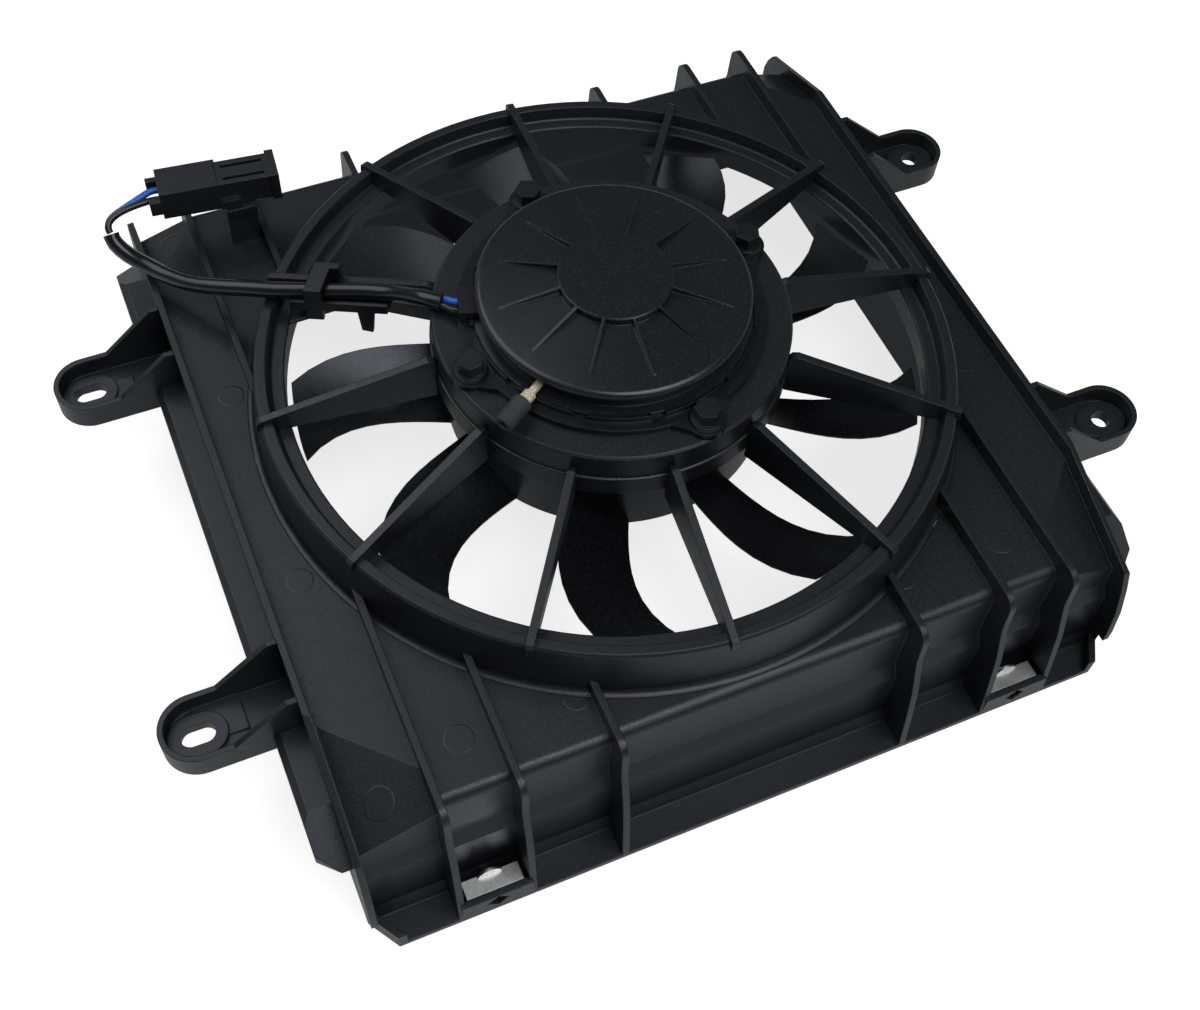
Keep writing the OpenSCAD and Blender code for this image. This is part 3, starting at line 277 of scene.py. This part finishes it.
# Sharpest edge, in degrees, that is shaded smooth. The default keeps the corner panels' crease
SMOOTH_DEFAULT = 20
SMOOTH_LIMIT = {"fan_blades": 32, "blue_wire": 60, "black_wire": 60, "cable_sleeve": 60}

# Corners of neighbouring faces closer than this, in metres, are joined
WELD_DISTANCE = 0.000002

# How strongly large faces pull the normals of their corners, 50 being neutral
FACE_WEIGHT = 90


def smooth_group(limit_degrees):
    """Geometry nodes that weld the faces' corners, drop the stored normals, shade smooth and
    keep the edges sharper than a limit."""
    group = bpy.data.node_groups.new("smooth_%d" % limit_degrees, "GeometryNodeTree")
    group.interface.new_socket("Geometry", in_out="INPUT", socket_type="NodeSocketGeometry")
    group.interface.new_socket("Geometry", in_out="OUTPUT", socket_type="NodeSocketGeometry")
    start = group.nodes.new("NodeGroupInput")
    end = group.nodes.new("NodeGroupOutput")
    weld = group.nodes.new("GeometryNodeMergeByDistance")
    weld.inputs["Distance"].default_value = WELD_DISTANCE
    flat = group.nodes.new("GeometryNodeRemoveAttribute")
    flat.inputs["Name"].default_value = "custom_normal"
    faces = group.nodes.new("GeometryNodeSetShadeSmooth")
    edges = group.nodes.new("GeometryNodeSetShadeSmooth")
    edges.domain = "EDGE"
    angle = group.nodes.new("GeometryNodeInputMeshEdgeAngle")
    limit = group.nodes.new("FunctionNodeCompare")
    limit.data_type = "FLOAT"
    limit.operation = "LESS_EQUAL"
    limit.inputs[1].default_value = math.radians(limit_degrees)
    link = group.links.new
    link(start.outputs[0], weld.inputs["Geometry"])
    link(weld.outputs["Geometry"], flat.inputs["Geometry"])
    link(flat.outputs["Geometry"], faces.inputs["Geometry"])
    link(faces.outputs["Geometry"], edges.inputs["Geometry"])
    link(angle.outputs["Unsigned Angle"], limit.inputs[0])
    link(limit.outputs[0], edges.inputs["Shade Smooth"])
    link(edges.outputs["Geometry"], end.inputs[0])
    return group


SMOOTH = {
    limit: smooth_group(limit) for limit in sorted({SMOOTH_DEFAULT, *SMOOTH_LIMIT.values()})
}


def dress(obj, material, limit):
    """Gives obj one material in every slot, and soft shading that keeps large faces flat."""
    if not obj.material_slots:
        obj.data.materials.append(material)
    for slot in obj.material_slots:
        slot.material = material
    smooth = obj.modifiers.new("smooth", "NODES")
    smooth.node_group = SMOOTH[limit]
    weighted = obj.modifiers.new("weighted", "WEIGHTED_NORMAL")
    weighted.mode = "FACE_AREA"
    weighted.weight = FACE_WEIGHT
    weighted.keep_sharp = True


def dress_nodes():
    for part in frame["record"]["subparts"]:
        name = part["node"]
        limit = SMOOTH_LIMIT.get(name, SMOOTH_DEFAULT)
        dress(nodes[name], MATERIALS[part["material_slot"]], limit)


# ---------------------------------------------------------------- stage and light

# Floor: half its side and its depth below the part, in metres, then its grey, and what it
# adds for the camera and for reflections
FLOOR_HALF = 6.0
FLOOR_DROP = 0.0002
FLOOR_BASE = 0.5
FLOOR_GLOW = 0.76
FLOOR_SHEEN = 0.22

# Brightness of the white surroundings for light and reflections, and as the camera sees them
WORLD_LEVEL = 0.12
WORLD_SEEN = 1.0

# Softboxes: name, place, aim, size in metres and power in watts
LAMPS = (
    ("key_softbox", (-0.85, 0.75, 1.5), (0.0, 0.0, 0.1), (1.7, 1.7), 17.0),
    ("top_softbox", (0.2, -0.65, 1.4), (0.0, 0.0, 0.1), (1.0, 0.7), 11.0),
    ("front_softbox", (0.6, -1.5, 1.3), (0.0, 0.0, 0.05), (1.2, 0.5), 4.0),
)


def camera_white(name, base, glow, sheen):
    """Pale matt surface that adds glow to the camera and a weaker sheen to reflections."""
    material = bpy.data.materials.new(name)
    material.use_nodes = True
    tree = material.node_tree
    tree.nodes.clear()
    out = tree.nodes.new("ShaderNodeOutputMaterial")
    matt = tree.nodes.new("ShaderNodeBsdfDiffuse")
    matt.inputs["Color"].default_value = (base, base, base, 1.0)
    light = tree.nodes.new("ShaderNodeEmission")
    path = tree.nodes.new("ShaderNodeLightPath")
    seen = tree.nodes.new("ShaderNodeMath")
    seen.operation = "MULTIPLY"
    seen.inputs[1].default_value = glow
    mirrored = tree.nodes.new("ShaderNodeMath")
    mirrored.operation = "MULTIPLY_ADD"
    mirrored.inputs[1].default_value = sheen
    total = tree.nodes.new("ShaderNodeAddShader")
    link = tree.links.new
    link(path.outputs["Is Camera Ray"], seen.inputs[0])
    link(path.outputs["Is Glossy Ray"], mirrored.inputs[0])
    link(seen.outputs[0], mirrored.inputs[2])
    link(mirrored.outputs[0], light.inputs["Strength"])
    link(matt.outputs[0], total.inputs[0])
    link(light.outputs[0], total.inputs[1])
    link(total.outputs[0], out.inputs["Surface"])
    return material


def make_floor():
    """White floor just under the part, which keeps the part's shadow."""
    mesh = bpy.data.meshes.new("floor")
    corners = [
        (x * FLOOR_HALF, y * FLOOR_HALF, -FLOOR_DROP)
        for x, y in ((-1, -1), (1, -1), (1, 1), (-1, 1))
    ]
    mesh.from_pydata(corners, [], [(0, 1, 2, 3)])
    floor = bpy.data.objects.new("floor", mesh)
    bpy.context.collection.objects.link(floor)
    mesh.materials.append(camera_white("floor_white", FLOOR_BASE, FLOOR_GLOW, FLOOR_SHEEN))


def make_world():
    """White surroundings, dim as a light and full white to the camera."""
    world = bpy.data.worlds.new("studio")
    world.use_nodes = True
    tree = world.node_tree
    background = tree.nodes["Background"]
    background.inputs["Color"].default_value = (1.0, 1.0, 1.0, 1.0)
    path = tree.nodes.new("ShaderNodeLightPath")
    strength = tree.nodes.new("ShaderNodeMix")
    strength.inputs[FLOAT_A].default_value = WORLD_LEVEL
    strength.inputs[FLOAT_B].default_value = WORLD_SEEN
    tree.links.new(path.outputs["Is Camera Ray"], strength.inputs["Factor"])
    tree.links.new(strength.outputs[FLOAT_RESULT], background.inputs["Strength"])
    bpy.context.scene.world = world


def make_lamp(name, place, aim, size, power):
    data = bpy.data.lights.new(name, "AREA")
    data.shape = "RECTANGLE"
    data.size, data.size_y = size
    data.energy = power
    lamp = bpy.data.objects.new(name, data)
    lamp.location = place
    lamp.rotation_euler = (Vector(aim) - Vector(place)).to_track_quat("-Z", "Y").to_euler()
    bpy.context.collection.objects.link(lamp)


# ---------------------------------------------------------------- build

make_camera()
dress_nodes()
make_floor()
make_world()
for lamp in LAMPS:
    make_lamp(*lamp)
bpy.context.scene.view_settings.view_transform = "Standard"
